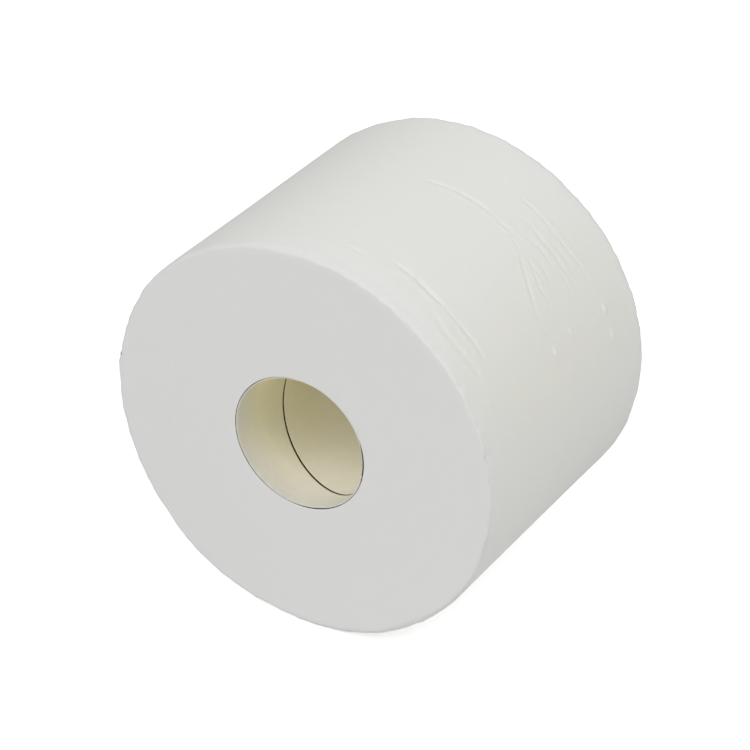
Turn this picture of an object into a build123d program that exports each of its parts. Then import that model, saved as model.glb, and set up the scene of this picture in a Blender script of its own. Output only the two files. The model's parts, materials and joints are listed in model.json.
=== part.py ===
from build123d import *
import math
import os

# A toilet paper roll lying on its side, in millimetres.
# The roll's axis runs along Y, its front end faces -Y, and +Z is up.
# The origin is on the axis, halfway between the two ends.
# Angles are taken round the axis from +X (0 degrees) through +Z (90 degrees).

# Driving sizes of the wound tissue
roll_radius = 65.5
roll_width = 96.0
edge_round_depth = 2.0
edge_round_length = 3.0
edge_bands = 3
sheet_thickness = 0.4
tail_angle = 170.0
flat_spot_drop = 0.75

# Driving sizes of the board tube that the tissue is wound on
core_outer_radius = 22.45
core_wall = 0.65
core_end_recess = 0.0

# The butt joint of the tube's inner ply, a helix that shows inside the bore
seam_pitch = 55.5
seam_front_angle = 351.7
seam_start_angle = 270.0
seam_gap = 0.45
seam_depth = 0.3
seam_overrun = 3.0

# The turns that show on both ends, as one spiral groove
shown_turns = 5
turn_groove_depth = 0.25
turn_groove_width = 0.5
turn_land_outside = 2.0
turn_land_inside = 3.0

# Sheets are torn apart along lines across the roll
sheet_length = 120.0
tear_line_depth = 0.2
tear_line_width = 0.6

# Creases across the outer turns: middle angle, middle place along Y,
# half of the angle they span, depth, mouth width and slant in degrees
front_crease = (54.5, -32.3, 13.0, 0.7, 3.0, 0.0)
middle_crease = (64.0, 10.4, 17.0, 0.6, 2.6, 4.0)
short_crease = (43.0, 18.8, 9.0, 0.4, 2.0, 0.0)
slanted_crease = (41.0, 1.6, 7.0, 0.4, 2.0, 28.0)
back_crease = (49.0, 29.2, 16.0, 0.5, 2.4, 0.0)
creases = [front_crease, middle_crease, short_crease, slanted_crease, back_crease]

# Sizes that follow from the driving ones
bore_radius = core_outer_radius - core_wall
core_length = roll_width - 2 * core_end_recess
front_y = -roll_width / 2
back_y = roll_width / 2
rest_height = roll_radius - flat_spot_drop
sheet_angle = math.degrees(sheet_length / roll_radius)
along_roll = Vector(0, 1, 0)


def radial(angle):
    """Unit vector that points from the roll's axis to its side at an angle."""
    return Vector(math.cos(math.radians(angle)), 0, math.sin(math.radians(angle)))


def half_plane(angle, centre=Vector(0, 0, 0)):
    """Sketch plane with x outwards from the axis at an angle and y along the roll."""
    outwards = radial(angle)
    return Plane(origin=centre, x_dir=outwards, z_dir=outwards.cross(along_roll))


def surface_radius(angle):
    """Distance from the roll's axis to the outer turn, which winds in from its tail."""
    past_tail = (angle - tail_angle) % 360
    if past_tail <= 180:
        return roll_radius
    return roll_radius - sheet_thickness / 2 * (1 + math.cos(math.radians(past_tail)))


def turning_axis(centre=Vector(0, 0, 0)):
    """Axis along the roll about which angles grow."""
    return Axis(centre, along_roll * -1)


# Board tube, with the helical joint of its inner ply
with BuildPart() as core_tube:
    tube_end = Plane(origin=(0, -core_length / 2, 0), x_dir=(1, 0, 0), z_dir=(0, 1, 0))
    with BuildSketch(tube_end):
        Circle(core_outer_radius)
        Circle(bore_radius, mode=Mode.SUBTRACT)
    extrude(amount=core_length)

    # The seam is followed from beyond the back end to beyond the front one.
    # Its helix starts straight below the axis.
    front_share = (seam_front_angle - seam_start_angle) / 360
    whole_turns = math.ceil(core_length / seam_pitch - front_share)
    seam_reach = seam_pitch * (whole_turns + front_share)
    with BuildLine():
        seam_path = Helix(
            pitch=seam_pitch,
            height=seam_reach + seam_overrun,
            radius=bore_radius,
            center=(0, -core_length / 2 + seam_reach, 0),
            direction=(0, -1, 0),
        )
    seam_start = seam_path @ 0
    seam_outwards = Vector(seam_start.X, 0, seam_start.Z).normalized()
    with BuildSketch(Plane(origin=seam_start, x_dir=seam_outwards, z_dir=seam_path % 0)):
        Rectangle(2 * seam_depth, seam_gap)
    sweep(path=seam_path, is_frenet=True, mode=Mode.SUBTRACT)

core_tube.part.label = "core_tube"

# Wound tissue. The outer turn is two half turns about centres half a sheet
# thickness apart, so its free edge is a step as high as the sheet is thick.
tail_direction = radial(tail_angle)
second_centre = tail_direction * (-sheet_thickness / 2)
half_turns = [
    (tail_angle, Vector(0, 0, 0), roll_radius),
    (tail_angle + 180, second_centre, roll_radius - sheet_thickness / 2),
]

groove_start_radius = roll_radius - edge_round_depth - turn_land_outside
groove_end_radius = core_outer_radius + turn_land_inside
turn_pitch = (groove_start_radius - groove_end_radius) / shown_turns
groove_centres = [Vector(0, 0, 0), tail_direction * (-turn_pitch / 2)]


def half_section(radius):
    """Outline of half the wound tissue, from the axis out to its soft edges.

    Each edge follows a quarter ellipse in a few straight bands.
    """
    edge = []
    for band in range(edge_bands + 1):
        turn = math.radians(90 * band / edge_bands)
        inset = edge_round_depth * (1 - math.sin(turn))
        setback = edge_round_length * (1 - math.cos(turn))
        edge.append((radius - inset, back_y - setback))
    front_edge = [(x, -y) for x, y in edge]
    return [(0, front_y)] + front_edge + edge[::-1] + [(0, back_y)]


def crease(middle_angle, middle_y, half_span, depth, mouth, slant):
    """Cut a crescent-shaped fold that fades out at both of its ends.

    A V-shaped ring is turned about an axis on the far side of the roll's own,
    so that it dips below the surface only over the span of the crease.
    """
    outwards = radial(middle_angle)
    setback = depth / (1 - math.cos(math.radians(half_span)))
    ring_axis_point = outwards * -setback + along_roll * middle_y
    ring_along = along_roll.rotate(Axis((0, 0, 0), outwards), slant)
    ring_axis = Axis(ring_axis_point, ring_along * -1)
    start = outwards.rotate(Axis((0, 0, 0), ring_along * -1), -half_span)
    bottom = surface_radius(middle_angle) + setback - depth
    slope = mouth / 2 / depth
    fold_plane = Plane(ring_axis_point, x_dir=start, z_dir=start.cross(ring_along))
    with BuildSketch(fold_plane) as fold_section:
        with BuildLine():
            Polyline(
                (bottom, 0),
                (bottom + 2 * depth, 2 * depth * slope),
                (bottom + 2 * depth, -2 * depth * slope),
                close=True,
            )
        make_face()
    revolve(
        fold_section.sketch,
        axis=ring_axis,
        revolution_arc=2 * half_span,
        mode=Mode.SUBTRACT,
    )


with BuildPart() as paper_roll:
    for start_angle, centre, radius in half_turns:
        with BuildSketch(half_plane(start_angle, centre)):
            with BuildLine():
                Polyline(half_section(radius), close=True)
            make_face()
        revolve(axis=turning_axis(centre), revolution_arc=180)

    # The hole that the tube fills
    with BuildSketch(Plane(origin=(0, front_y, 0), x_dir=(1, 0, 0), z_dir=(0, 1, 0))):
        Circle(core_outer_radius)
    extrude(amount=roll_width, mode=Mode.SUBTRACT)

    # The spiral of turns on each end, made of half circles
    for end_y, inwards in ((front_y, 1), (back_y, -1)):
        for step in range(2 * shown_turns):
            groove_radius = groove_start_radius - turn_pitch / 2 * step
            groove_centre = groove_centres[step % 2]
            bottom_y = end_y + inwards * turn_groove_depth
            mouth_y = end_y - inwards * turn_groove_depth
            with BuildSketch(half_plane(tail_angle + 180 * step, groove_centre)):
                with BuildLine():
                    Polyline(
                        (groove_radius, bottom_y),
                        (groove_radius + turn_groove_width, mouth_y),
                        (groove_radius - turn_groove_width, mouth_y),
                        close=True,
                    )
                make_face()
            revolve(axis=turning_axis(groove_centre), revolution_arc=180, mode=Mode.SUBTRACT)

    for sizes in creases:
        crease(*sizes)

    # Shallow lines across the outer turn, where its sheets tear apart
    for number in range(1, int(360 / sheet_angle) + 1):
        line_angle = tail_angle + number * sheet_angle
        line_bottom = surface_radius(line_angle) - tear_line_depth
        line_mouth = surface_radius(line_angle) + tear_line_depth
        line_end = Plane(origin=(0, front_y, 0), x_dir=radial(line_angle), z_dir=(0, 1, 0))
        with BuildSketch(line_end):
            with BuildLine():
                Polyline(
                    (line_bottom, 0),
                    (line_mouth, tear_line_width),
                    (line_mouth, -tear_line_width),
                    close=True,
                )
            make_face()
        extrude(amount=roll_width, mode=Mode.SUBTRACT)

    # The small flat that the soft roll lies on
    split(bisect_by=Plane(origin=(0, 0, -rest_height)), keep=Keep.TOP)

paper_roll.part.label = "paper_roll"

os.makedirs("parts", exist_ok=True)
export_step(core_tube.part, "parts/core_tube.step")
export_step(paper_roll.part, "parts/paper_roll.step")
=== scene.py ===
import json
import math

import bmesh
import bpy
import numpy as np
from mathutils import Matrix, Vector


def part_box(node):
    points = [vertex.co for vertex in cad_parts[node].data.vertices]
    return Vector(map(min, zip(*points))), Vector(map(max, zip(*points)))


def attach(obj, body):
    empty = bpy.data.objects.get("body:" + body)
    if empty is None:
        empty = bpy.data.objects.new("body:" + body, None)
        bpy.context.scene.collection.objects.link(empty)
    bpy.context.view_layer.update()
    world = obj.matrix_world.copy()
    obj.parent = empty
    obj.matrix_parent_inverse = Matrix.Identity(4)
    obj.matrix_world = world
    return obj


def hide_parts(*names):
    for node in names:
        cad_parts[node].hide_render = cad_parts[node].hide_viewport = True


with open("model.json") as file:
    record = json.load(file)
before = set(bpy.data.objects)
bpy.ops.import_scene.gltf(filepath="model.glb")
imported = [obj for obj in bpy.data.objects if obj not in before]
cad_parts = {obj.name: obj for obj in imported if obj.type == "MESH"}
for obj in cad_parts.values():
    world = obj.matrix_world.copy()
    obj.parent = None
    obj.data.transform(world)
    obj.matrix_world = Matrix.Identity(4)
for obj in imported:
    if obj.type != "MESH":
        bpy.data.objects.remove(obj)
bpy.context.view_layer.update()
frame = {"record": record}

# The roll lies with its axis along Y and its front end at -Y. Lengths are in
# metres, and in millimetres where that is said. Angles are in degrees, taken
# round the axis from +X through +Z.
MM = 0.001
paper_low, paper_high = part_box("paper_roll")
tube_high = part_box("core_tube")[1]
mounts = {mount["name"]: mount for mount in frame["record"]["mounts"]}

roll_radius = paper_high[0]
half_width = paper_high[1]
rest_height = -paper_low[2]
tube_radius = tube_high[0]
bore_radius = mounts["core_bore"]["dims"]["r_mm"] * MM

# The outer turn ends at its tail. Its last sheet is a thin shell that becomes
# part of the turn below over the merge span.
sheet_thickness = 0.4 * MM
shell_thickness = 0.3 * MM
tail_angle = 170.0
sheet_span = 105.0
merge_span = 9.0

# Both ends have soft edges, which follow a quarter ellipse
edge_round_depth = 1.4 * MM
edge_round_length = 3.0 * MM
edge_round_step = 11.25

# The tube is slightly out of round, and so is the hole that it sits in
out_of_round = 0.33 * MM

# At each end the tissue closes in a little over the tube, down to the lip's
# depth. The overhang is full down to the lip's face.
lip_depth = 1.3 * MM
lip_face = 0.3 * MM
lip_overhang = 0.15 * MM

# The joint of the tube's inner ply, as wide as the gap and narrower at the front
seam_pitch = 56.9 * MM
seam_front_angle = 348.8
seam_gap = 0.64 * MM
seam_depth = 0.3 * MM
seam_front_width = 0.6
seam_narrow_length = 14 * MM


def smooth(x):
    """0 below 0, 1 above 1, and a soft step between."""
    x = np.clip(x, 0.0, 1.0)
    return x * x * (3 - 2 * x)


def graded(stops):
    """Values from the first stop to the last.

    Each stop is a value and the step that follows it.
    """
    values = []
    for (start, step), (end, _) in zip(stops[:-1], stops[1:]):
        count = max(1, round((end - start) / step))
        values += [start + (end - start) * i / count for i in range(count)]
    return np.array(values + [stops[-1][0]])


def angle_from(angle, middle):
    """Signed difference of two angles, within half a turn."""
    return (angle - middle + 180) % 360 - 180


def bumps(angle, base, places):
    """A level with soft rises, each with its middle angle, height and half width."""
    level = base + 0.0 * angle
    for middle, height, spread in places:
        level = level + height * np.exp(-(angle_from(angle, middle) / spread) ** 2)
    return level


def merged(past):
    """How far the last sheet is part of the turn below, by the angle past the tail."""
    return smooth((past - (sheet_span - merge_span)) / merge_span)


def outer_radius(past):
    """Radius of the outer turn below the last sheet, by the angle past the tail."""
    closing = (1 + np.cos(np.radians(past))) / 2
    return roll_radius - sheet_thickness * np.where(past <= 180, 1 - merged(past), closing)


# Folds across the outer turn, in degrees and millimetres. Each follows a line of
# (angle, y) points. It has a depth, a width on its front and on its back side,
# the height of the crest behind it as a share of its depth, and a seed from
# which it gets its uneven course and depth.
folds = [
    # The long fold behind the front edge, in two parts, and a softer one before it
    dict(line=[(73, -33.4), (67, -32.6), (61, -32.4), (56, -32.6), (50, -32.6)],
         depth=0.46, front=1.05, back=0.9, crest=0.0, seed=3),
    dict(line=[(60, -32.6), (53, -32.9), (48, -32.7), (43, -32.3), (39, -31.9), (33, -32.3)],
         depth=0.38, front=0.9, back=0.5, crest=0.25, seed=12),
    dict(line=[(56, -37.6), (51, -38.6), (47, -39.8), (41, -39.2), (35, -38.0), (28, -36.8)],
         depth=0.17, front=1.2, back=1.0, crest=1.1, seed=4),
    # Edges of sheets that stand out along the top of the front edge
    dict(line=[(124, -46.9), (114, -46.6), (104, -46.0), (95, -45.6), (88, -45.9)],
         depth=0.2, front=0.45, back=0.4, crest=0.3, seed=15),
    dict(line=[(100, -47.0), (90, -46.6), (80, -46.0), (71, -45.7)],
         depth=0.2, front=0.5, back=0.4, crest=0.3, seed=16),
    # The long curved fold across the middle
    dict(line=[(84, 10.2), (79, 10.8), (74, 12.1), (66, 12.7), (60, 12.4), (56, 12.2),
               (52, 12.8)],
         depth=0.42, front=0.75, back=0.55, crest=0.22, seed=14),
    # It fans out at its lower end
    dict(line=[(60, 12.0), (56, 11.4), (51, 9.1), (47, 5.8), (42, 2.3), (38, 0.0),
               (33, -1.6)],
         depth=0.33, front=0.75, back=0.6, crest=0.05, seed=6),
    dict(line=[(55, 14.0), (51, 16.3), (46, 17.1), (41, 16.4), (37, 15.8)],
         depth=0.19, front=0.6, back=0.6, crest=0.7, seed=7),
    dict(line=[(50, 11.2), (45, 8.6), (40, 6.2), (36, 7.3), (32, 9.0)],
         depth=0.25, front=0.65, back=0.6, crest=0.2, seed=8),
    dict(line=[(47, 13.4), (41, 12.0), (36, 12.3), (34, 12.4)],
         depth=0.15, front=0.7, back=0.7, crest=0.3, seed=9),
    # Two more towards the back end
    dict(line=[(60, 20.2), (54, 21.0), (48, 20.4), (44, 20.6), (38, 20.3), (34, 20.8)],
         depth=0.25, front=0.65, back=0.55, crest=0.45, seed=10),
    dict(line=[(65, 26.2), (57, 27.4), (50, 27.3), (44, 27.2), (38, 28.0), (30, 29.0)],
         depth=0.24, front=0.6, back=0.5, crest=0.7, seed=11),
]

# Fine short creases round them: the angles and places along Y where they lie, and
# how many there are. The ranges below are for half their length in degrees, for
# their slant in millimetres to a degree, and for the same sizes as a fold has.
crease_fields = [((66, 82), (-41, -34), 6), ((34, 58), (-42, -30), 6), ((40, 62), (3, 18), 9),
                 ((32, 50), (-3, 24), 9), ((66, 92), (8, 16), 4), ((36, 66), (24, 33), 5)]
crease_halves = (3.5, 8.0)
crease_slants = (-0.1, 0.1)
crease_sizes = dict(depth=(0.06, 0.14), front=(0.5, 0.9), back=(0.4, 0.8), crest=(0.2, 0.9))
crease_seeds = 1000
crease_rng = np.random.default_rng(21)
for angles, places, count in crease_fields:
    for _ in range(count):
        middle, at = crease_rng.uniform(*angles), crease_rng.uniform(*places)
        half, slant = crease_rng.uniform(*crease_halves), crease_rng.uniform(*crease_slants)
        fold = {size: crease_rng.uniform(*limits) for size, limits in crease_sizes.items()}
        fold["line"] = [(middle - half, at - half * slant), (middle + half, at + half * slant)]
        fold["seed"] = int(crease_rng.integers(crease_seeds))
        folds.append(fold)

# A fold strays to both sides, in millimetres, fades out at its ends, in degrees,
# and changes in strength between a least and a most
fold_stray, fold_ease = 0.25, 8.0
fold_strength, fold_change = 0.8, 0.7
fold_least, fold_most = 0.1, 1.5
strength_seed = 100

# The crest behind a fold and the swell before it: places as shares of the fold's
# widths, the long slope of the crest and the width of the swell in millimetres,
# and the height of the swell as a share of the depth
crest_place, crest_slope = 1.6, 2.2
swell_place, swell_width, swell_height = 2.1, 1.2, 0.3

# Lines across the roll where its sheets tear apart, in millimetres
tear_angles = [(tail_angle + sheet_span * number) % 360 for number in (1, 2, 3)]
tear_depth, tear_width = 0.09, 0.6

# Small puckers near such a line: angle, y and height, in millimetres
puckers = [(23.6, -1.0, 0.75), (24.8, 10.0, 0.5), (23.5, 29.8, 0.75), (24.8, -23.0, 0.3),
           (29.6, -5.0, 0.3), (15.8, 29.7, 0.75), (15.6, -20.0, 0.2), (15.6, 4.2, 0.4),
           (20.0, 33.0, 0.3), (93.5, 12.0, 0.4), (25.5, -38.0, 0.3)]
pucker_length, pucker_width = 1.4, 0.65

# The side is a little uneven, as the turns were wound under changing tension.
# Each wave has its count round the roll, its height, its phase, and the length
# along the roll over which the phase shifts by one radian, in millimetres.
side_waves = [(3, 0.09, 0.6, 31.0), (7, 0.06, 2.1, -17.0), (5, 0.025, -0.3, 11.0),
              (5, 0.025, -1.7, -11.0)]

# The front edge is pressed softer over its upper right part: from and to which
# angle, over which angle it fades, its depth, place along Y and reach
pressed_first, pressed_last, pressed_ease = 30.0, 112.0, 30.0
pressed_depth, pressed_y, pressed_reach = 0.75, -49.0, 4.6

# The soft roll has settled a little out of round, more so at its front end
settled = [(150, 0.4, 22), (180, 0.1, 16), (222, -0.35, 25), (260, -0.3, 14),
           (25, -0.15, 22), (95, 0.2, 14)]
front_settled = [(155, 0.5, 16), (258, -0.3, 14)]
front_settled_reach = 9.0

# Both edges are a little ragged, where sheets stand out or are rubbed down. Each
# wave has its count round the roll, its height and its phase.
ragged_waves = [(11, 0.08, 0.4), (17, 0.08, 2.2), (26, 0.08, 5.1), (37, 0.08, 1.3),
                (53, 0.07, 3.6), (71, 0.07, 0.9), (97, 0.06, 4.4), (131, 0.045, 2.8)]
ragged_reach = 2.4

# Groups of turns stand a little proud on the ends. Each kind has its height and
# the width of its bands, in millimetres. The turns lie on a spiral.
turn_pitch = 0.45
broad_height, broad_width, broad_sway = 0.02, 1.9, 0.4
fine_height, fine_width = 0.015, 0.83
lean_height, lean_width = 0.06, 9.0


def wander(angle, seed):
    """Uneven line between about -1 and 1 along a fold, different for each seed."""
    phases = np.random.default_rng(seed).uniform(0, 2 * math.pi, 4)
    waves = [(0.21, 0.35), (0.47, 0.3), (0.95, 0.25), (1.9, 0.2)]
    return sum(size * np.sin(rate * angle + phase)
               for (rate, size), phase in zip(waves, phases))


def fold_offset(fold, angle, y):
    """How far the surface moves outwards at a fold, in millimetres."""
    line = np.array(sorted(fold["line"]))
    middle = np.interp(angle, line[:, 0], line[:, 1])
    middle = middle + fold_stray * wander(angle, fold["seed"])
    first, last = line[0, 0], line[-1, 0]
    ease = min(fold_ease, (last - first) / 2)
    fade = smooth((angle - first) / ease) * smooth((last - angle) / ease)
    strength = fold_strength + fold_change * wander(angle, fold["seed"] + strength_seed)
    strength = fade * np.clip(strength, fold_least, fold_most)
    away = y - middle
    valley = -np.exp(-(away / np.where(away < 0, fold["front"], fold["back"])) ** 2)
    past_crest = away - crest_place * fold["back"]
    slope = np.where(past_crest < 0, fold["back"], crest_slope)
    crest = np.exp(-(past_crest / slope) ** 2)
    swell = np.exp(-((away + swell_place * fold["front"]) / swell_width) ** 2)
    return fold["depth"] * strength * (valley + fold["crest"] * crest + swell_height * swell)


def distance_round(angle, middle):
    """Distance round the side from a middle angle, in millimetres."""
    return np.radians(angle_from(angle, middle)) * roll_radius / MM


def ragged_height(angle):
    """Ragged height of the edges, in millimetres."""
    turn = np.radians(angle)
    return sum(height * np.sin(count * turn + phase) for count, height, phase in ragged_waves)


def side_offset(angle, y):
    """Folds, puckers and unevenness of the roll's side, in millimetres."""
    offset = np.zeros(np.broadcast(angle, y).shape)
    for fold in folds:
        offset += fold_offset(fold, angle, y)
    for at, along, height in puckers:
        across = distance_round(angle, at) / pucker_length
        offset += height * np.exp(-across ** 2 - ((y - along) / pucker_width) ** 2)
    for at in tear_angles:
        offset -= tear_depth * np.exp(-(distance_round(angle, at) / tear_width) ** 2)
    turn = np.radians(angle)
    for count, height, phase, run in side_waves:
        offset += height * np.sin(count * turn + phase + y / run)

    pressed = smooth((angle - pressed_first) / pressed_ease)
    pressed = pressed * smooth((pressed_last - angle) / pressed_ease)
    offset -= pressed_depth * pressed * np.exp(-((y - pressed_y) / pressed_reach) ** 2)

    front = np.exp(-((y + half_width / MM) / front_settled_reach) ** 2)
    offset += bumps(angle, 0.0, settled) + front * bumps(angle, 0.0, front_settled)
    from_edge = half_width / MM - np.abs(y)
    return offset + ragged_height(angle) * np.exp(-(from_edge / ragged_reach) ** 2)


def face_offset(angle, radius):
    """Relief of the ends, in millimetres."""
    turn = np.radians(angle)
    winding = radius / MM - angle_from(angle, tail_angle) / 360 * turn_pitch
    relief = broad_height * np.sin(winding / broad_width + broad_sway * np.sin(2 * turn + 1))
    relief += fine_height * np.sin(winding / fine_width + 1.3)
    return relief + lean_height * np.sin(turn + winding / lean_width)


def edge_softness(angle, y):
    """How far the edges are rounded at an angle. The front one is crisp at the lower right."""
    front = bumps(angle, 0.8, [(5, -0.55, 28), (68, 0.35, 24), (97, 0.85, 15), (205, 0.45, 22),
                               (276, 1.2, 20), (308, 0.9, 12)])
    back = bumps(angle, 1.0, [(20, 0.2, 40), (92, -0.35, 18)])
    return np.where(y < 0, front, back)


def oval(angle):
    """How far the tube stands out of round at an angle."""
    return out_of_round * np.cos(np.radians(2 * angle))


def gap(angle):
    """Width of the dark gap between the tube and the tissue."""
    return MM * bumps(angle, 0.09, [(1, 0.6, 14), (290, 0.13, 8), (328, 0.05, 8),
                                    (306, 0.08, 8), (264, -0.06, 10), (238, 0.1, 10),
                                    (212, 0.2, 20), (178, 0.13, 14), (140, 0.12, 22)])


def tube_end_inset(angle):
    """How far the tube's roughly cut end lies inside the tissue's."""
    return MM * bumps(angle, 0.04, [(68, 0.55, 40), (285, 0.3, 24)])


def settle(points, cover):
    """Flatten the underside softly where the roll rests on the floor.

    The cover is the thickness of the sheet that lies below the points.
    """
    softness = 0.2 * MM
    height = points[..., 2] + rest_height - cover
    flattened = (height + np.sqrt(height ** 2 + softness ** 2)) / 2
    points[..., 2] = flattened - rest_height + cover


def add_object(name, bm, materials):
    """Smooth object in the scene, with the faces of the given mesh turned outwards."""
    bmesh.ops.recalc_face_normals(bm, faces=bm.faces)
    if bm.calc_volume(signed=True) < 0:
        bmesh.ops.reverse_faces(bm, faces=bm.faces)
    mesh = bpy.data.meshes.new(name)
    bm.to_mesh(mesh)
    bm.free()
    for material in materials:
        mesh.materials.append(material)
    mesh.polygons.foreach_set("use_smooth", [True] * len(mesh.polygons))
    obj = bpy.data.objects.new(name, mesh)
    bpy.context.scene.collection.objects.link(obj)
    return obj


# Rows of points of the wound tissue: shares of the way out over its ends, places
# along its side, finest where the folds are, and depths in the gap round the tube,
# the last two in millimetres
end_shares = graded([(0.006, 0.012), (0.054, 0.045), (0.78, 0.03), (0.94, 0.02), (1.0, 0.0)])
side_end = (half_width - edge_round_length) / MM
side_places = graded([(-side_end, 0.6), (-42, 0.4), (-30, 1.4), (-3, 0.42), (31, 1.5),
                      (side_end, 0.0)])
gap_depths = (0.04, 0.1, 0.35)
hole_row_count = 9

# Columns of points, in degrees past the tail, finest where the folds and the
# tear lines are
paper_columns = graded([(0.0, 1.0), (8, 2.0), (102, 0.6), (108, 2.0), (196, 0.55),
                        (216, 0.42), (276, 0.8), (292, 2.0), (312, 0.6), (318, 2.0),
                        (352, 1.0), (360, 0.0)])[:-1]
shell_columns = graded([(0.0, 0.5), (3.0, 1.0), (9.0, 2.0), (sheet_span, 0.0)])

# The relief of the ends fades out over this share of the way out
relief_fade = 0.05

# The last sheet, in millimetres along Y and outwards, and in degrees past the
# tail: how its sides are tucked in, the teeth and the slow wave of its torn end,
# how it lifts off, and how it sinks into the turn below
tuck_setback, tuck_inset = 0.25, 0.6
tooth_chance, tooth_height, teeth_reach = 0.15, 0.3, 2.0
tear_wave, tear_wave_run = 0.4, 13
least_lift, ripple_lift, corner_lift, lift_reach = 0.02, 0.06, 1.4, 5.0
ripple_run, ripple_phase = 9, 0.8
corner_start, corner_length = 8, 40
sink_depth, sink_span = 0.7, 7.0


def paper_rows():
    """Outline of the wound tissue as rows.

    Each row has a share of the way out from the hole, an inset from the outer
    turn, a place along Y, and the parts of its normal outwards and along Y.
    """
    front = [(share, edge_round_depth, -half_width, 0.0, -1.0) for share in end_shares]
    for turn in np.radians(graded([(0.0, edge_round_step), (90.0, 0.0)]))[1:-1]:
        inset = edge_round_depth * (1 - math.sin(turn))
        setback = edge_round_length * (1 - math.cos(turn))
        normal = Vector((math.sin(turn) / edge_round_depth,
                         -math.cos(turn) / edge_round_length)).normalized()
        front.append((1.0, inset, -half_width + setback, *normal))
    side = [(1.0, 0.0, place * MM, 1.0, 0.0) for place in side_places]
    back = [(share, inset, -y, out, -along) for share, inset, y, out, along in front[::-1]]
    lip = [half_width - depth * MM for depth in gap_depths]
    reach = half_width - lip_depth
    places = lip + list(np.linspace(reach, -reach, hole_row_count)) + [-y for y in lip[::-1]]
    hole = [(0.0, 0.0, y, -1.0, 0.0) for y in places]
    return front + side + back + hole


def soft_ends(y, softness, end_y):
    """Places along Y, drawn towards the end where its edge is less rounded."""
    return end_y + (y - end_y) * np.minimum(softness, 1.0)


def free_end():
    """Points and faces of the last sheet, a thin shell that lies on the turn below.

    It starts at the tail and dips into that turn where it becomes part of it.
    """
    # Its sides follow the rounded edges and are tucked into the ends, so that no
    # gap shows there
    edge_turns = np.radians([15, 32, 50, 70])
    edge_y = half_width / MM - edge_round_length / MM * (1 - np.cos(edge_turns))
    edge_y = np.concatenate([[half_width / MM - tuck_setback], edge_y])
    edge_inset = edge_round_depth / MM * (1 - np.sin(edge_turns))
    edge_inset = np.concatenate([[edge_round_depth / MM + tuck_inset], edge_inset])
    flat_y = graded([(-side_end, 1.0), (side_end, 0.0)])
    along = np.concatenate([-edge_y, flat_y, edge_y[::-1]])[:, None]
    inset = np.concatenate([edge_inset, 0 * flat_y, edge_inset[::-1]])[:, None]

    # The end was torn off along its perforation, which leaves small teeth
    teeth = np.random.default_rng(4).uniform(-tooth_chance, tooth_chance, along.shape)
    teeth += tooth_height * (np.arange(len(along)) % 2)[:, None]
    teeth += tear_wave * np.sin(along / tear_wave_run)
    past = shell_columns[None, :]
    past = past + np.degrees(teeth * MM / roll_radius) * np.exp(-past / teeth_reach)

    # It lifts off a little, most at its back corner, and sinks in at its other end
    ripple = 0.5 + 0.5 * np.sin(along / ripple_run + ripple_phase)
    corner = smooth((along - corner_start) / corner_length)
    lift = least_lift + ripple_lift * ripple + corner_lift * corner
    lift = lift * np.exp(-past / lift_reach)
    sink = sink_depth * smooth((past - (sheet_span - sink_span)) / sink_span)

    angle = tail_angle + past
    softness = edge_softness(angle, along)
    offset = side_offset(angle, along) + lift - sink - inset * softness
    drawn = soft_ends(along, softness, np.sign(along) * half_width / MM)
    y = np.where(inset > 0, drawn, along)
    turn = np.radians(angle)
    layers = []
    for depth in (0.0, shell_thickness):
        radius = roll_radius - depth + offset * MM
        layer = np.stack([radius * np.cos(turn), y * MM, radius * np.sin(turn)], -1)
        settle(layer, depth)
        layers.append(layer.reshape(-1, 3))

    rows, columns = past.shape
    inner = rows * columns
    faces = []
    for row in range(rows - 1):
        for column in range(columns - 1):
            corner = row * columns + column
            corners = (corner, corner + 1, corner + columns + 1, corner + columns)
            faces.append(corners)
            faces.append(tuple(i + inner for i in corners[::-1]))
    rim = list(range(columns))
    rim += [row * columns + columns - 1 for row in range(1, rows)]
    rim += [(rows - 1) * columns + column for column in range(columns - 2, -1, -1)]
    rim += [row * columns for row in range(rows - 2, 0, -1)]
    for a, b in zip(rim, rim[1:] + rim[:1]):
        faces.append((b, a, a + inner, b + inner))
    return np.concatenate(layers), faces


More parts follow.
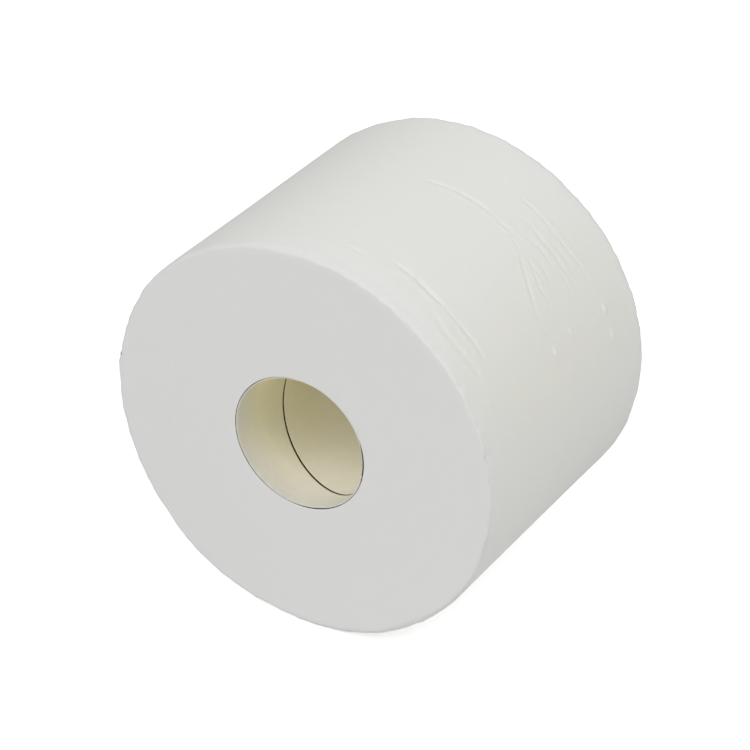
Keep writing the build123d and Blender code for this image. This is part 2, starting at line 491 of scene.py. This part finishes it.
def build_paper(materials):
    """The wound tissue with its last sheet. The second material is painted shade in the gap."""
    share, inset, along, normal_out, normal_along = np.array(paper_rows()).T[:, :, None]
    past = paper_columns
    angle = (past + tail_angle) % 360
    signed_angle = np.where(angle > 270, angle - 360, angle)
    on_side = (share == 1.0) & (normal_out > 0)
    in_hole = normal_out < 0

    lip_share = (np.abs(along) - half_width + lip_depth) / (lip_depth - lip_face)
    inner = tube_radius + oval(angle) - lip_overhang * smooth(lip_share)
    softness = edge_softness(angle, along)
    radius = inner + share * (outer_radius(past) - inset * softness - inner)
    on_edge = (inset > 0) & (np.abs(along) > half_width - edge_round_length)
    drawn = soft_ends(along, softness, np.sign(along) * half_width)
    y = np.where(on_edge, drawn, along)

    moved = np.where(on_side, side_offset(signed_angle, y / MM), 0.0)
    relief = np.where(on_side | in_hole, 0.0, face_offset(angle, radius))
    relief = relief * smooth((1.0 - share) / relief_fade)
    radius = radius + moved * MM * normal_out
    y = y + relief * MM * normal_along
    turn = np.radians(angle)
    points = np.stack([radius * np.cos(turn), y, radius * np.sin(turn)], -1)
    settle(points, sheet_thickness * (1 - merged(past)) * on_side)

    # The walls of the hole are painted dark from just inside each end to the lip's depth: painted
    # shade in the gap round the tube
    rows, columns = radius.shape
    hole_rows = np.flatnonzero(in_hole)
    dark_rows = set(hole_rows[[1, 2, -4, -3]])
    faces = []
    slots = []
    for row in range(rows):
        this, other = row * columns, (row + 1) % rows * columns
        for column in range(columns):
            beside = (column + 1) % columns
            faces.append((this + column, this + beside, other + beside, other + column))
        slots += [1 if row in dark_rows else 0] * columns

    shell_points, shell_faces = free_end()
    faces += [tuple(i + rows * columns for i in face) for face in shell_faces]
    slots += [0] * len(shell_faces)
    bm = bmesh.new()
    verts = [bm.verts.new(point) for point in [*points.reshape(-1, 3), *shell_points]]
    for face, slot in zip(faces, slots):
        bm.faces.new([verts[i] for i in face]).material_index = slot
    return add_object("wound_tissue", bm, materials)


# The tube's inner ply is one long strip whose two borders are the joint. Each
# point of a border's profile has its distance from the joint as a share of half
# the gap, and its depth as a share of the joint's.
joint_profile = [(0.0, 1.0), (0.9, 1.0), (1.1, 0.0), (1.9, -0.1), (3.0, 0.0)]
strip_columns = 34
strip_step = 3.0
strip_overrun = 0.2

# The tube's ends are turned over to the outer wall: share of the wall and drop in
# millimetres of each ring. The last ring lies behind the gap and is painted dark, as painted shade.
end_profile = [(0.15, -0.03), (0.5, -0.04), (0.95, 0.04), (1.0, 1.3)]
thinnest_end = 0.05 * MM
end_inset_reach = 4 * MM

# Points closer than this are one, before and after the strip is cut, and points
# this close to a cut are on it, for the cut itself and when its ring is picked out
strip_merge, cut_merge = 1e-6, 2e-6
cut_distance, on_cut = 1e-7, 1e-6


def joint_width(y):
    """Width of the joint as a share of the full one, smaller at the front end."""
    return seam_front_width + (1 - seam_front_width) * smooth((y + half_width) / seam_narrow_length)


def ring_point(radius, turn, y):
    """Point at a radius, an angle in radians and a place along Y."""
    return radius * math.cos(turn), y, radius * math.sin(turn)


def turn_of(vert):
    """Angle of a point round the axis, in radians."""
    return math.atan2(vert.co.z, vert.co.x)


def wind_strip(bm):
    """Wind the inner ply, further at both ends than the tube is long."""
    border = [(seam_gap / 2 * place, seam_depth * depth) for place, depth in joint_profile]
    last_place = border[-1][0]
    inside = np.linspace(last_place, seam_pitch - last_place, strip_columns)[1:-1]
    columns = border + [(place, 0.0) for place in inside]
    columns += [(seam_pitch - place, depth) for place, depth in border[::-1]]
    first = seam_front_angle - 360 * (2 * half_width / seam_pitch + strip_overrun)
    last = seam_front_angle + 360 * (1 + strip_overrun)

    # There are whole steps to a turn, so that the borders meet point to point
    steps = math.ceil((last - first) / strip_step)
    grid = []
    for angle in first + strip_step * np.arange(steps + 1):
        seam_y = -half_width + seam_pitch * (seam_front_angle - angle) / 360
        row = []
        for place, depth in columns:
            nearest = 0.0 if place < seam_pitch / 2 else seam_pitch
            from_joint = (place - nearest) * joint_width(seam_y + nearest)
            point = ring_point(bore_radius + depth + oval(angle), math.radians(angle),
                               seam_y + nearest + from_joint)
            row.append(bm.verts.new(point))
        grid.append(row)
    quads = len(columns) - 1
    # The joint's faces take the dark material: the joint's own dark edges and painted shade in its
    # groove
    in_joint = (0, 1, quads - 2, quads - 1)
    for this, other in zip(grid[:-1], grid[1:]):
        for j in range(quads):
            face = bm.faces.new((this[j], this[j + 1], other[j + 1], other[j]))
            face.material_index = 1 if j in in_joint else 0
    bmesh.ops.remove_doubles(bm, verts=bm.verts, dist=strip_merge)


def turn_over_end(bm, end):
    """Turn the strip's cut end over to the outer wall, and give its last ring."""
    ring = {vert for edge in bm.edges if edge.is_boundary for vert in edge.verts
            if abs(vert.co.y - end) < on_cut}
    ring = sorted(ring, key=turn_of)
    for vert in bm.verts:
        share = 1 - abs(vert.co.y - end) / end_inset_reach
        if share > 0:
            inset = tube_end_inset(math.degrees(turn_of(vert))) * share
            vert.co.y -= math.copysign(inset, end)
    turns = [turn_of(vert) for vert in ring]
    for share, drop in end_profile:
        outer = []
        for turn in turns:
            angle = math.degrees(turn)
            # The end narrows to leave the gap, and the wall widens again behind it
            edge = tube_radius
            if share < 1.0:
                edge = max(tube_radius - lip_overhang - gap(angle), bore_radius + thinnest_end)
            radius = oval(angle) + bore_radius + (edge - bore_radius) * share
            place = end - math.copysign(drop * MM + tube_end_inset(angle), end)
            outer.append(bm.verts.new(ring_point(radius, turn, place)))
        for i, vert in enumerate(outer):
            face = bm.faces.new((ring[i - 1], ring[i], vert, outer[i - 1]))
            # The last ring lies behind the gap and is painted dark: painted shade
            face.material_index = 1 if share == 1.0 else 0
        ring = outer
    return ring


def join_rings(bm, first, second):
    """Join two rings of points, each sorted by angle, with a band of triangles."""
    def turn(ring, i):
        return turn_of(ring[i % len(ring)]) + 2 * math.pi * (i // len(ring))

    i = j = 0
    while i < len(first) or j < len(second):
        a, b = first[i % len(first)], second[j % len(second)]
        first_is_next = turn(first, i + 1) <= turn(second, j + 1)
        if j >= len(second) or (i < len(first) and first_is_next):
            i += 1
            bm.faces.new((a, first[i % len(first)], b))
        else:
            j += 1
            bm.faces.new((a, second[j % len(second)], b))


def build_tube(materials):
    """The board tube. The second material is for its dark joint and for the painted shade of the
    gap round it.
    """
    bm = bmesh.new()
    wind_strip(bm)
    ends = (-half_width, half_width)
    for end in ends:
        geometry = list(bm.verts) + list(bm.edges) + list(bm.faces)
        bmesh.ops.bisect_plane(bm, geom=geometry, dist=cut_distance, clear_outer=True,
                               plane_co=(0, end, 0), plane_no=(0, math.copysign(1, end), 0))
    bmesh.ops.remove_doubles(bm, verts=bm.verts, dist=cut_merge)
    outer_rings = [turn_over_end(bm, end) for end in ends]
    join_rings(bm, *outer_rings)
    return add_object("board_tube", bm, materials)


class Nodes:
    """Short ways to add the nodes of one material."""

    def __init__(self, name):
        self.material = bpy.data.materials.new(name)
        self.material.use_nodes = True
        self.tree = self.material.node_tree
        self.shader = self.tree.nodes["Principled BSDF"]

    def link(self, source, target):
        self.tree.links.new(source, target)

    def put(self, value, target):
        """Link a socket to the target, or set the target to a plain value."""
        if isinstance(value, bpy.types.NodeSocket):
            self.link(value, target)
        else:
            target.default_value = value

    def add(self, kind, inputs=None, **settings):
        node = self.tree.nodes.new(kind)
        for key, value in settings.items():
            setattr(node, key, value)
        for key, value in (inputs or {}).items():
            self.put(value, node.inputs[key])
        return node

    def calc(self, operation, a, b=0.0):
        return self.add("ShaderNodeMath", {0: a, 1: b}, operation=operation).outputs[0]

    def times(self, a, b):
        return self.calc("MULTIPLY", a, b)

    def ramp(self, value, low, high, start=0.0, end=1.0):
        """Straight line from start at low to end at high, and level beyond."""
        node = self.add("ShaderNodeMapRange", {"Value": value, "From Min": low, "From Max": high,
                                               "To Min": start, "To Max": end})
        return node.outputs["Result"]

    def noise(self, vector, scale, detail=2.0, roughness=0.5):
        node = self.add("ShaderNodeTexNoise", {"Vector": vector, "Scale": scale,
                                               "Detail": detail, "Roughness": roughness})
        return node.outputs["Fac"]

    def mix(self, factor, a, b):
        """Mix of two colours."""
        node = self.add("ShaderNodeMix", {"Factor": factor}, data_type="RGBA")
        self.put(a, node.inputs[6])
        self.put(b, node.inputs[7])
        return node.outputs[2]

    def combine(self, x, y, z):
        return self.add("ShaderNodeCombineXYZ", {0: x, 1: y, 2: z}).outputs[0]

    def roll_coordinates(self):
        """The place, its distance from the axis, its angle in radians, and its y."""
        place = self.add("ShaderNodeTexCoord").outputs["Object"]
        split = self.add("ShaderNodeSeparateXYZ", {0: place})
        x, y, z = split.outputs[0], split.outputs[1], split.outputs[2]
        radius = self.calc("SQRT", self.calc("ADD", self.times(x, x), self.times(z, z)))
        return place, radius, self.calc("ARCTAN2", z, x), y

    def finish(self, base, brightness, roughness, specular):
        """Set the base colour, lighter or darker by the brightness, and the gloss."""
        tinted = self.add("ShaderNodeHueSaturation", {"Color": base, "Value": brightness})
        self.link(tinted.outputs[0], self.shader.inputs["Base Color"])
        self.shader.inputs["Roughness"].default_value = roughness
        self.shader.inputs["Specular IOR Level"].default_value = specular

    def bump(self, height, strength, distance):
        node = self.add("ShaderNodeBump", {"Strength": strength, "Distance": distance,
                                           "Height": height})
        self.link(node.outputs[0], self.shader.inputs["Normal"])


def colour(r, g, b):
    return (r, g, b, 1.0)


# The yellow-green cast on the side is strongest along this angle
cast_angle = 27.0
cast_spread = 26.0

# Colours of the tissue, the board and the dark gaps. The tissue's ends and parts of the board's
# colours are painted light and shade, and the gaps hold painted shade and the tube's dark joint
side_white = colour(0.775, 0.775, 0.757)
side_green = colour(0.774, 0.786, 0.692)
side_yellow = colour(0.787, 0.777, 0.69)
end_shaded_white = colour(0.757, 0.752, 0.747)
board_shaded = colour(0.93, 0.88, 0.53), colour(0.955, 0.91, 0.57)
board_lit = colour(0.94, 0.90, 0.80), colour(0.96, 0.925, 0.84)
board_end_shade = colour(0.655, 0.64, 0.592)
gap_shade = (0.09, 0.085, 0.05)
seam_and_shade_colour = (0.075, 0.045, 0.012)


def tissue_material():
    n = Nodes("tissue")
    place, radius, angle, along = n.roll_coordinates()
    from_middle = n.calc("ABSOLUTE", along)
    around = n.times(angle, roll_radius)
    geometry = n.add("ShaderNodeNewGeometry")
    normal = n.add("ShaderNodeSeparateXYZ", {0: geometry.outputs["True Normal"]})
    facing = n.calc("ABSOLUTE", normal.outputs[1])
    on_end = n.ramp(facing, 0.80, 0.97)

    # Faint yellow-green cast in soft patches on the side, most along one band
    patches = n.noise(n.combine(around, n.times(along, 0.45), 0.2), scale=46.0)
    from_band = n.calc("ABSOLUTE", n.calc("SUBTRACT", angle, math.radians(cast_angle)))
    band = n.ramp(from_band, 0.0, math.radians(cast_spread), 0.75, 0.12)
    off_edge = n.ramp(from_middle, half_width - 9 * MM, half_width - 3 * MM, 1.0, 0.25)
    cast = n.times(n.times(n.ramp(patches, 0.3, 0.7, 0.5, 1.5), band), off_edge)
    tints = n.ramp(n.noise(n.combine(around, along, 0.7), scale=75.0), 0.42, 0.58)
    side = n.mix(cast, side_white, n.mix(tints, side_green, side_yellow))
    # The ends are painted a little darker than the side: painted shade
    base = n.mix(on_end, side, end_shaded_white)

    # Fine crepe along the roll on its side, fine rings of turns on its ends
    crepe = n.noise(n.combine(around, n.times(along, 0.22), 0.0),
                    scale=1500.0, detail=3.0, roughness=0.6)
    fibres = n.noise(place, scale=900.0, detail=3.0, roughness=0.65)
    rings = n.noise(n.combine(radius, n.times(angle, 0.0016), 0.0), scale=2600.0, roughness=0.6)
    bands = n.noise(n.combine(radius, n.times(angle, 0.002), 0.3), scale=420.0)
    side_grain = n.calc("ADD", n.times(crepe, 0.6), n.times(fibres, 0.4))
    end_grain = n.calc("ADD", n.times(rings, 0.3), n.times(bands, 0.2))
    end_grain = n.calc("ADD", end_grain, 0.25)
    grain = n.add("ShaderNodeMix", {"Factor": on_end, 2: side_grain, 3: end_grain},
                  data_type="FLOAT").outputs[0]

    # The rounded edges are painted a little darker: painted shade that tones down the highlight the
    # lights give them
    from_edge = n.calc("ABSOLUTE", n.calc("SUBTRACT", facing, 0.5))
    near_edge = n.ramp(from_middle, half_width - 5 * MM, half_width - 3 * MM, 0.0, 0.035)
    edge_shade = n.calc("SUBTRACT", 1.0, n.times(near_edge, n.ramp(from_edge, 0.3, 0.5, 1.0, 0.0)))
    brightness = n.times(n.ramp(grain, 0.3, 0.7, 0.985, 1.015), edge_shade)
    n.finish(base, brightness, roughness=0.95, specular=0.25)
    n.bump(grain, strength=0.35, distance=0.12 * MM)
    return n.material


def board_material():
    n = Nodes("board")
    place, _, angle, along = n.roll_coordinates()

    # The board's fibres run along its strip, which winds at a slant
    around = n.times(angle, bore_radius)
    slant = math.atan2(seam_pitch, 2 * math.pi * bore_radius)
    down_strip = n.calc("SUBTRACT", n.times(around, math.cos(slant)),
                        n.times(along, math.sin(slant)))
    cross_strip = n.calc("ADD", n.times(around, math.sin(slant)),
                         n.times(along, math.cos(slant)))
    fibres = n.noise(n.combine(n.times(down_strip, 0.25), cross_strip, 0.0),
                     scale=1400.0, detail=3.0, roughness=0.6)
    cloud = n.noise(place, scale=120.0, detail=3.0, roughness=0.55)

    # The board is painted paler towards the bore's underside, most along this angle, where the
    # light falls in: painted light, and tan where the bore lies in shade.
    # It is painted greyer towards the tube's ends: painted shade.
    painted_light_angle = 285
    toward_light = n.calc("COSINE", n.calc("SUBTRACT", angle, math.radians(painted_light_angle)))
    board = n.mix(n.ramp(toward_light, -1.0, 1.0), n.mix(cloud, *board_shaded), n.mix(cloud, *board_lit))
    # Painted shade: the board is greyer towards the tube's ends
    end_shade = n.ramp(n.calc("ABSOLUTE", along), half_width - 12 * MM, half_width, 0.0, 0.85)
    end_shade = n.times(end_shade, n.ramp(cloud, 0.3, 0.7, 0.85, 1.1))
    base = n.mix(end_shade, board, board_end_shade)
    n.finish(base, n.ramp(fibres, 0.3, 0.7, 0.975, 1.02), roughness=0.85, specular=0.3)
    n.bump(fibres, strength=0.3, distance=0.1 * MM)
    return n.material


def dark_material(name, shade):
    """The tube's dark joint, and painted shade in the narrow gaps."""
    n = Nodes(name)
    place = n.add("ShaderNodeTexCoord").outputs["Object"]
    darker = colour(*(part * 0.7 for part in shade))
    spots = n.mix(n.noise(place, scale=700.0), darker, colour(*shade))
    n.link(spots, n.shader.inputs["Base Color"])
    n.shader.inputs["Roughness"].default_value = 0.9
    n.shader.inputs["Specular IOR Level"].default_value = 0.0
    return n.material


paper = build_paper([tissue_material(), dark_material("gap", gap_shade)])
tube = build_tube([board_material(), dark_material("seam_and_shade", seam_and_shade_colour)])

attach(paper, "root")
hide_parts("paper_roll")
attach(tube, "root")
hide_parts("core_tube")

scene = bpy.context.scene
scene.view_settings.view_transform = "Standard"

# The background and the floor are white where the camera sees them. The world
# lights the roll with the fill strength, and the glow lightens the seen floor.
fill_strength = 0.32
floor_glow = 0.6
floor_size = 3.0
floor_colour = colour(0.84, 0.84, 0.84)
white = colour(1, 1, 1)


def shown_directly(tree):
    """1 for rays from the camera and for those that mirror or pass the background."""
    paths = tree.nodes.new("ShaderNodeLightPath")
    total = paths.outputs["Is Camera Ray"]
    for name in ("Is Glossy Ray", "Is Transmission Ray"):
        node = tree.nodes.new("ShaderNodeMath")
        node.operation = "MAXIMUM"
        tree.links.new(total, node.inputs[0])
        tree.links.new(paths.outputs[name], node.inputs[1])
        total = node.outputs[0]
    return total


world = bpy.data.worlds.new("studio")
scene.world = world
world.use_nodes = True
tree = world.node_tree
background = tree.nodes["Background"]
background.inputs["Color"].default_value = white
strength = tree.nodes.new("ShaderNodeMapRange")
tree.links.new(shown_directly(tree), strength.inputs["Value"])
strength.inputs["To Min"].default_value = fill_strength
strength.inputs["To Max"].default_value = 1.0
tree.links.new(strength.outputs["Result"], background.inputs["Strength"])

bpy.ops.mesh.primitive_plane_add(size=floor_size, location=(0, 0, -rest_height))
floor = bpy.context.object
floor.name = "floor"
floor_nodes = Nodes("floor")
floor_nodes.shader.inputs["Base Color"].default_value = floor_colour
floor_nodes.shader.inputs["Roughness"].default_value = 0.9
floor_nodes.shader.inputs["Specular IOR Level"].default_value = 0.0
floor_nodes.shader.inputs["Emission Color"].default_value = white
glow = floor_nodes.times(shown_directly(floor_nodes.tree), floor_glow)
floor_nodes.link(glow, floor_nodes.shader.inputs["Emission Strength"])
floor.data.materials.append(floor_nodes.material)

# Each light has its direction from the roll, the level to which it lights a white
# surface that faces it, and its distance, which is this many times its size
distance_to_size = 1.5
lights = {
    "front_light": ((-0.10, -0.70, 0.70), 0.415, 3.0),
    "right_light": ((0.60, -0.10, 0.80), 0.362, 1.5),
    "left_light": ((-0.55, -0.35, 0.75), 0.062, 1.5),
    "back_light": ((0.20, 0.88, 0.40), 0.14, 1.5),
}
for name, (direction, level, distance) in lights.items():
    direction = Vector(direction).normalized()
    light = bpy.data.lights.new(name, "AREA")
    light.energy = level * math.pi ** 2 * distance ** 2
    light.size = distance / distance_to_size
    holder = bpy.data.objects.new(name, light)
    holder.location = direction * distance
    holder.rotation_euler = (-direction).to_track_quat("-Z", "Y").to_euler()
    scene.collection.objects.link(holder)

# The camera was fitted to the outline and the bore in the photo
camera_place = (0.412987, -0.679696, 0.477726)
view_direction = Vector((-0.4472, 0.7309, -0.5156))
camera = bpy.data.cameras.new("camera")
camera.lens = 144.683
camera.sensor_width = 36.0
camera_object = bpy.data.objects.new("camera", camera)
camera_object.location = camera_place
camera_object.rotation_euler = view_direction.to_track_quat("-Z", "Y").to_euler()
scene.collection.objects.link(camera_object)
scene.camera = camera_object
